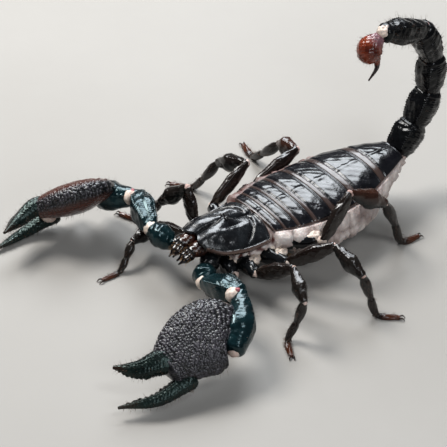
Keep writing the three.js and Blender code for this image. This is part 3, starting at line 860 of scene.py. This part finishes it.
def toward(a, b, distance):
    return arr(a) + unit(arr(b) - arr(a)) * distance


def rough_shell(t, angle):
    """The fine unevenness of a limb's shell."""
    return 0.05 * np.sin(t * 23 + 3 * np.sin(angle * 2)) + 0.04 * np.sin(angle * 5 + t * 31)


def coxae():
    """The breastplate and the bases of all limbs, with pale skin between them."""
    ends = body(0, -19.5, -0.4), body(0, 2, -1)
    shape = bone(*ends, [6, 8, 6], [3.4, 3.8, 3.4]).shape(28, 24, rough_shell)
    for name, joints in LEGS.items():
        side = 1 if name.startswith("left") else -1
        start = body(side * 2.6, -18.5 + int(name[-1]) * 4.2, -0.8)
        short = 2.6 if name.endswith("4") else 0.4
        shape += bone(start, toward(joints[0], start, short), COXA, COXA).shape(32, 28, rough_shell)
        root, way = arr(joints[0]), unit(arr(joints[0]) - start)
        joint(root - way * 0.4 + [0, 0, 0.3], 1.5, (1.1, 1, 0.9), mask=0.1)
        joint(root - way * 5 + [side * 0.4, 2, 1.3], 2.2, (0.9, 1.3, 0.6), lumps=0.4)
        joint(root - way * 8.5 + [side * 0.3, 1.8, 1.9], 2.1, (0.9, 1.3, 0.6), lumps=0.4)
    for name, palp in PALPS.items():
        start = body(3 if name == "left" else -3, -17, 1.2)
        base = bone(start, palp["coxa"], [5.4, 6.4, 5.6], [5, 6.4, 5.6])
        shape += base.shape(36, 30, rough_shell)
    return shape


def eyes(side):
    """A median eye and the three small eyes at the carapace's front corner."""
    lens = ball(body(side * 1.05, EYE_Y, 11.2), 0.75)
    for k in range(3):
        u, v = side * (0.93 - 0.02 * k), 0.075 + 0.045 * k
        lens += ball(carapace_at(u, v), 0.42 - 0.05 * k, sides=16, rings=10)
    return lens


def jaw(side):
    """A chelicera: a thick base and two short claws, with golden bristles."""
    base = bone(
        body(side * 2.5, -19, 5.6), body(side * 2.6, -26.6, 5), [4.4, 4.8, 4.2], [4.6, 5.2, 4.4]
    )
    shape = base.shape(40, 36, rough_shell, mask=lambda t, a: past(t, 0.86, 0.12))
    gold_hairs.on_tube(base, 36, 1.2, JAW_HAIR, (0.7, 1), (-1.3, 1.3), 0.9)
    for root, tip in (
        (body(side * 1.8, -25.6, 5.2), body(side * 1, -30.6, 2.6)),
        (body(side * 3.6, -25.6, 4.8), body(side * 2.4, -31, 2.2)),
    ):
        claw = bone(root, tip, [2.4, 2.2, 0.9], [2.6, 2.2, 1], ends=(0.5, 0.6))
        shape += claw.shape(24, 24, mask=lambda t, a: np.clip(0.5 + t * 2, 0, 1))
        gold_hairs.on_tube(claw, 46, 1.3, JAW_HAIR, (0.1, 0.9), (-2.6, 2.6), 0.8)
    return shape


def comb(side):
    """A pectine: a bar under the body with a row of teeth."""
    ends = body(side * 1.6, 3, -6.4), body(side * 11, 7.5, -6.4)
    shape = bone(*ends, [1.8, 2, 1.2], [1, 1, 0.9]).shape(16, 16)
    for i in range(17):
        x, y = 3 + i * 0.43, 3.9 + i * 0.2
        ends = body(side * x, y, -6.6), body(side * (x - 0.9), y + 2.8, -6.9)
        shape += bone(*ends, [0.36, 0.4, 0.36], [0.5, 0.6, 0.5]).shape(8, 6)
    return shape


piece("coxae_and_breastplate", coxae(), SHELL, ["coxosternum"])
for name, side in (("left", 1), ("right", -1)):
    piece(f"eye_{name}", eyes(side), EYE, [f"median_eye_{name}"])
    piece(f"jaw_{name}", jaw(side), CHELICERA, [f"chelicera_{name}"])
    piece(f"comb_{name}", comb(side), COMB, [f"pectine_{name}"])

# ---- tail ----

SIDEWAYS = arr([1, 0, 0])


def keels(places, height, width, start=0.12, end=0.93, teeth=16):
    """Ridges that run along a limb at these angles, with this many granules on each."""

    def relief(t, angle):
        fade = past(t, start, 0.1) * before(t, end, 0.06)
        total = np.zeros(np.shape(t))
        for place in places:
            total = total + bell(apart(angle, place), 0, width)
        beads = 0.62 + 0.38 * np.sin(t * teeth * 2 * pi)
        return height * fade * total * beads + rough_shell(t, angle)

    return relief


def thicker(relief, extra):
    """A relief with the whole limb swollen a little, most in its middle."""
    return lambda t, angle: relief(t, angle) + extra * np.sin(pi * np.clip(t, 0, 1)) ** 0.5


def tail_ring(i):
    """One tail segment's tube and its relief: keels, a collar at the far end, hollows and lumps."""
    start, end = arr(TAIL[i]), arr(TAIL[i + 1])
    top = np.cross(SIDEWAYS, end - start)
    segment = bone(start, end, TAIL_WIDE[i], TAIL_DEEP[i], top=top, square=2.8, ends=TAIL_ENDS)
    ridges = keels(TAIL_KEELS, 0.34, 0.13, teeth=int(np.linalg.norm(end - start) / 0.8))

    def relief(t, angle):
        collar = 0.28 * bell(t, 0.955, 0.03)
        lumps = 0.12 * ripple(segment.point(t, angle), 1.6, i)
        hollow = -0.22 * bell(np.abs(angle), 0, 0.32)
        hollow = hollow + 0.35 * bell(t, 0.72, 0.22) - 0.3 * bell(t, 0.16, 0.1)
        return ridges(t, angle) + collar + lumps + hollow * past(t, 0.1, 0.2) * before(t, 0.95, 0.1)

    return segment, relief


TAIL_KEELS = [0.72, 2.35, 1.5, -0.72, -2.35, -1.5]
for i in range(5):
    segment, relief = tail_ring(i)
    piece(f"tail_{i + 1}", segment.shape(110, 90, relief), TAIL_SHELL, [f"metasoma_{i + 1}"])
    dark_hairs.on_tube(segment, 26 + 30 * i, 1.5 + 0.25 * i, HAIR, (0.12, 0.97), lean=0.5)
    if i:
        joint(arr(TAIL[i]), min(TAIL_WIDE[i][0], TAIL_DEEP[i][0]) * 0.4, mask=0.5)
joint(arr(TAIL[5]) + [0, 0.4, 0.1], 2.35, mask=0.1, lumps=0.4)

bulb_size = profile(1.9, 3.5, 4.1, 3.3, 1.3)
bulb_path = Line([1.9, 47, 68.6], [0.9, 43.9, 64], [2.4, 46.2, 60.2])
bulb = Tube(bulb_path, SIDEWAYS, bulb_size, bulb_size, square=2)


def bulb_relief(t, angle):
    return 0.16 * ripple(bulb.point(t, angle), 0.9) + 0.1 * ripple(bulb.point(t, angle), 2.2)


bulb_shape = bulb.shape(80, 80, bulb_relief, mask=lambda t, a: 0.9 * before(t, 0.26, 0.2))
piece("venom_bulb", bulb_shape, BULB, ["vesicle"])
dark_hairs.on_tube(bulb, 80, 1.7, HAIR, (0.1, 0.95), lean=0.3)
sting_size = profile(1.1, 0.9, 0.55, 0.28)
sting_path = Line([2.3, 46.2, 60], [2.3, 46.4, 57.2], [1.4, 44.3, 52.7])
sting = Tube(sting_path, SIDEWAYS, sting_size, sting_size, square=2)
sting_shape = sting.shape(24, 40, mask=lambda t, a: before(t, 0.25, 0.25))
piece("sting", sting_shape, STING, ["aculeus"])

# ---- pedipalps ----


def palp_arm(name, palp, side):
    """The three pieces between the body and the hand, with their membranes and bristles."""
    keys = ("coxa", "root", "elbow", "wrist", "reach", "inner")
    coxa, root, elbow, wrist, reach, inner = (arr(palp[key]) for key in keys)
    wrist_end = toward(wrist, elbow, -PATELLA_BEYOND)
    trochanter = bone(coxa, root, PALP_TROCHANTER, PALP_TROCHANTER)
    femur = bone(root, elbow, PALP_FEMUR, PALP_FEMUR, square=3)
    patella = bone(elbow, wrist_end, PALP_PATELLA_WIDE, PALP_PATELLA_DEEP, bow=(palp["bow"], 0.03))
    femur_keels = keels([0.8, -0.8, 2.35, -2.35], 0.42, 0.09, 0.08, 0.95, teeth=20)
    patella_keels = keels([0.95, -0.95], 0.3, 0.12, 0.1, 0.9, teeth=14)

    def femur_relief(t, angle):
        hollow = -0.4 * (bell(angle, 0, 0.45) + bell(np.abs(angle), 1.57, 0.4)) * np.sin(pi * t)
        return femur_keels(t, angle) + hollow + 0.1 * np.clip(ripple(femur.point(t, angle), 0.55), 0, 1)

    def patella_relief(t, angle):
        return patella_keels(t, angle) + 0.1 * ripple(patella.point(t, angle), 2)

    for kind, shape in (
        ("trochanter", trochanter.shape(60, 44, rough_shell)),
        ("femur", femur.shape(120, 90, femur_relief)),
        ("patella", patella.shape(110, 90, patella_relief)),
    ):
        piece(f"palp_{kind}_{name}", shape, PALP, [f"pedipalp_{kind}_{name}"])
    joint(root, 2.5)
    joint(elbow + reach * 2.3 + [0, 0, 0.5], 2.5, mask=0.08)
    joint(elbow + reach * 1.4 + [side * 0.6, 0, 2.5], 0.75, mask=0.8)
    joint(wrist + reach * 0.4 - inner * 1, 2.35, mask=0.15)
    for tube in (patella, femur):
        dark_hairs.on_tube(tube, 60, 1.6, HAIR, lean=0.2)


class Hand:
    """A hand's own directions: along its reach, towards its inner edge, and out of its back."""

    def __init__(self, palp, side):
        self.wrist, self.reach, self.inner = (arr(palp[key]) for key in ("wrist", "reach", "inner"))
        self.back = unit(np.cross(self.inner, self.reach) * side)

    def at(self, along, inner, lift):
        return self.wrist + self.reach * along + self.inner * inner + self.back * lift

    def palm(self, heel):
        """The palm's tube, which rounds off towards its heel."""
        inner_edge, outer_edge, deep = profile(*PALM_INNER), profile(*PALM_OUTER), profile(*PALM_DEEP)
        last = len(PALM_INNER) - 1
        middles = [
            self.at(heel + (PALM_TO - heel) * i / last, (PALM_INNER[i] - PALM_OUTER[i]) / 2, 0)
            for i in range(last + 1)
        ]

        def rounded(t):
            return 0.12 + 0.88 * (1 - np.clip(1 - t / 0.36, 0, 1) ** 2.4) ** 0.45

        return Tube(
            Line(*middles), self.back,
            lambda t: (inner_edge(t) + outer_edge(t)) / 2 * rounded(t),
            lambda t: PALM_BACK * deep(t) * rounded(t),
            lambda t: deep(t) * rounded(t),
        )

    def finger(self, root, tip, outward, behind, half, deep, lifts):
        """A finger's tube, from inside the palm to its bowed tip."""
        base, end = self.at(*root, lifts[0]), self.at(*tip, lifts[1])
        bulge = base * 0.55 + end * 0.45 + self.inner * outward
        size = profile(*half)
        path = Line(toward(base, self.wrist, behind), base, bulge, end)
        return Tube(path, self.back, size, lambda t: deep * size(t))


def palm_shape(palm, side):
    """The palm with its granules. The right one is smoother away from its inner edge, where it gets a painted
    reddish reflection.
    """
    rings, sides = 189, 360
    angles = even_angles(palm, sides)
    tt, aa = np.meshgrid(np.linspace(0, 1, rings + 1), angles, indexing="ij")
    beads = bead_relief(palm.point(tt, aa), bead_rows(palm, BEAD), BEAD * 0.56, BEAD_HEIGHT)
    # painted reddish reflection on the right hand, over the sides that are also smoother
    red_reflection = past(apart(aa, -side * pi / 2), 0.34, 0.4) * (side < 0)
    round_heel = 1.3 * bell(tt, 0.29, 0.11) * bell(apart(aa, side * pi / 2), 0, 0.5)
    relief = beads * before(apart(aa, 0), 2.75, 0.3) - round_heel
    relief = relief * (1 - 0.55 * red_reflection) + 0.12 * ripple(palm.point(tt, aa), 3)
    # the granules' height, which the hand's material turns into painted shade in the grooves and a painted
    # highlight on the tops
    rise = np.clip(relief / 0.3, 0, 1)
    return palm.shape(sides, rings, lambda t, a: relief, lambda t, a: red_reflection, 0.3, angles, rise)


def finger_shape(tube, facing):
    """A finger with blunt teeth along the edge that meets the other finger."""

    def relief(t, angle):
        gap = apart(angle, facing)
        fade = past(t, 0.3, 0.1) * before(t, 0.97, 0.05)
        teeth = 0.34 * np.abs(np.sin(t * 19 * pi)) ** 1.5 + 0.28 * bell((t * 4.2) % 1, 0.5, 0.14)
        rows = 0.22 * (bell(gap, 0.95, 0.1) + bell(gap, 2.1, 0.1)) * past(t, 0.1, 0.1)
        grain = 0.2 * np.clip(ripple(tube.point(t, angle), 0.6), 0, 1) * before(t, 0.85, 0.3)
        return fade * teeth * bell(gap, 0, 0.2) + rows * before(t, 0.95, 0.2) + grain

    return tube.shape(72, 170, relief, mask=lambda t, a: 0.35 * past(t, 0.8, 0.2))


for name, palp in PALPS.items():
    side = 1 if name == "left" else -1
    palp_arm(name, palp, side)
    hand, lifts, facing = Hand(palp, side), palp["lift"], side * pi / 2
    palm = hand.palm(palp["heel"] - HEEL_EARLIER)
    fixed = hand.finger(**FIXED_FINGER, lifts=lifts[:2])
    moving = hand.finger(**MOVING_FINGER, lifts=lifts[2:])
    hand_node, finger_node = f"pedipalp_hand_{name}", f"pedipalp_finger_{name}"
    piece(f"hand_{name}", palm_shape(palm, side), HAND, [hand_node])
    piece(f"fixed_finger_{name}", finger_shape(fixed, facing), FINGER, [hand_node])
    piece(f"moving_finger_{name}", finger_shape(moving, -facing), FINGER, [finger_node])
    joint(hand.at(18.4, -1.6, lifts[2] + 0.3), 2.6, (1, 1, 0.9), mask=0.1)
    for tube in (fixed, moving):
        dark_hairs.on_tube(tube, 150, 1.5, HAIR, (0.2, 0.97), lean=0.5)
    dark_hairs.on_tube(palm, 110, 1.6, HAIR, (0.1, 0.98), lean=0.4)

# ---- legs ----


def scaled(sizes, scale):
    return [s * scale for s in sizes]


def foot(shin, heel, toe, scale):
    """The tibia and tarsus in one, with two claws and two spurs."""

    def relief(t, angle):
        waist = -0.18 * (bell(t, 0.36, 0.02) + bell(t, 0.68, 0.02))
        swell = 0.2 * bell(t, 0.2, 0.14) + 0.1 * bell(t, 0.52, 0.1)
        return scale * (waist + swell) + rough_shell(t, angle)

    shape = shin.shape(40, 130, relief, mask=lambda t, a: 0.06 + 0.6 * past(t, 0.7, 0.15))
    forwards = unit((toe - heel) * [1, 1, 0])
    for sign in (-1, 1):
        across = np.cross([0, 0, 1], forwards) * sign
        claw = Line(
            toe - forwards * 0.5 + across * 0.3,
            toe + forwards * 0.8 + across * 0.7 + [0, 0, 0.35],
            (toe + forwards * 1.7 + across * 0.75) * [1, 1, 0] + [0, 0, 0.14],
        )
        size = profile(0.34, 0.26, 0.1)
        shape += Tube(claw, (0, 0, 1), size, size, square=2).shape(12, 14, mask=lambda t, a: 0.2 + 0 * t)
    for angle in (2.4, -2.4):
        place = shin.point(0.62, angle)
        size = scaled([0.5, 0.4, 0.2], scale)
        shape += bone(place - forwards * 0.3, place + forwards * 0.9 + [0, 0, -0.35], size, size).shape(10, 8)
    shape.points[:, 2] = np.maximum(shape.points[:, 2], 0)
    return shape


def leg(name, joints):
    """The three pieces of a leg, with their membranes and bristles."""
    root, knee, elbow, ankle, heel, toe = (arr(j) for j in joints)
    scale = LEG_SCALE[int(name[-1]) - 1]
    heel[2], toe[2] = HEEL_Z * scale, TOE_Z * scale
    femur = bone(root, knee, scaled(FEMUR_WIDE, scale), scaled(FEMUR_DEEP, scale))
    patella = bone(knee, elbow, scaled(PATELLA_WIDE, scale), scaled(PATELLA_DEEP, scale))
    half = profile(*scaled(FOOT_HALF, scale))
    shin = Tube(Line(elbow, ankle, heel, toe), (0, 0, 1), half, half, square=2.1)
    brown = 0.3 if name.endswith("4") else 0.06
    femur_relief = thicker(keels([0.45, -0.45, 2.7], 0.26, 0.1), 0.22)
    patella_relief = thicker(keels([0.5, -0.5], 0.2, 0.12, teeth=12), 0.3)

    def patella_mask(t, angle):
        return brown * np.clip(0.4 + np.cos(angle), 0, 1)

    for kind, shape, slot in (
        ("femur", femur.shape(60, 54, femur_relief, lambda t, a: 0.08 + 0 * t), "leg_shell"),
        ("patella", patella.shape(60, 54, patella_relief, patella_mask), "leg_shell"),
        ("foot", foot(shin, heel, toe, scale), "leg_tip"),
    ):
        piece(f"leg_{kind}_{name}", shape, LEG, [f"{kind}_{name}"])
    joint(knee, 1.08 * scale, mask=0.25)
    joint(elbow, 1 * scale, mask=0.25)
    dark_hairs.on_tube(shin, 190, 1.1 * scale, LEG_HAIR, (0.06, 0.97), (-2.3, 2.3), lean=0.7)
    for tube, count in ((patella, 44), (femur, 34)):
        dark_hairs.on_tube(tube, count, 1.3 * scale, LEG_HAIR, lean=0.4)


for name, joints in LEGS.items():
    leg(name, joints)

piece("joint_membranes", sum(membranes[1:], membranes[0]), JOINT)
dark_hairs.piece("dark_bristles", BRISTLE, "shell")
gold_hairs.piece("jaw_bristles", GOLD, "chelicera")

# ---- floor, light and camera ----

floor_mesh = bpy.data.meshes.new("floor")
floor_mesh.from_pydata([(-3, -3, 0), (3, -3, 0), (3, 3, 0), (-3, 3, 0)], [], [(0, 1, 2, 3)])
floor_mesh.materials.append(
    surface("studio_floor", (0.29, 0.275, 0.255), (0.31, 0.295, 0.275), rough=(0.8, 0.05), scale=8)
)
added("floor", floor_mesh)

world = bpy.data.worlds.new("studio")
world.use_nodes = True
surroundings = world.node_tree.nodes["Background"].inputs
surroundings["Color"].default_value = (0.8, 0.84, 0.9, 1)
surroundings["Strength"].default_value = 0.12
bpy.context.scene.world = world


def softbox(name, place, size, power, colour, aim=(0, 0, 0.02)):
    """A soft light of this size in metres and power in watts, aimed at the middle of the body."""
    light = bpy.data.lights.new(name, "AREA")
    light.shape = "RECTANGLE"
    light.size, light.size_y = size
    light.energy = power
    light.color = colour
    obj = added(name, light)
    obj.location = place
    obj.rotation_euler = (Vector(aim) - Vector(place)).to_track_quat("-Z", "Y").to_euler()


softbox("key", (-0.46, -0.14, 0.66), (0.3, 0.3), 8, (1, 0.99, 0.97))
softbox("fill", (0.4, 0.04, 0.7), (0.2, 0.2), 1.6, (0.92, 0.96, 1))
softbox("side", (0.62, -0.16, 0.4), (0.32, 0.2), 1.6, (0.9, 0.95, 1))
softbox("sky", (-0.42, 0.36, 0.56), (0.42, 0.42), 8, (0.9, 0.95, 1), aim=(0, 0.01, 0.02))

VIEW_FOCAL_PX = 2053.2
VIEW_DISTANCE = 654.8
VIEW_TARGET = arr([-7.883, -5.071, 12])
PICTURE_PX = 447
SENSOR_MM = 36

azimuth, elevation, roll = (radians(v) for v in (50.722, 38.8, 2.165))
back = Vector((sin(azimuth) * cos(elevation), -cos(azimuth) * cos(elevation), sin(elevation)))
right = Vector((cos(azimuth), sin(azimuth), 0))
up = back.cross(right)
right, up = right * cos(roll) + up * sin(roll), up * cos(roll) - right * sin(roll)
lens = bpy.data.cameras.new("camera")
lens.sensor_width = SENSOR_MM
lens.lens = VIEW_FOCAL_PX / PICTURE_PX * SENSOR_MM
lens.clip_start = 0.01
camera = added("camera", lens)
place = (Vector(VIEW_TARGET - CENTRE) + back * VIEW_DISTANCE) / 1000
camera.matrix_world = Matrix.Translation(place) @ Matrix((right, up, back)).transposed().to_4x4()
bpy.context.scene.camera = camera
bpy.context.scene.view_settings.view_transform = "Standard"

bpy.context.view_layer.update()
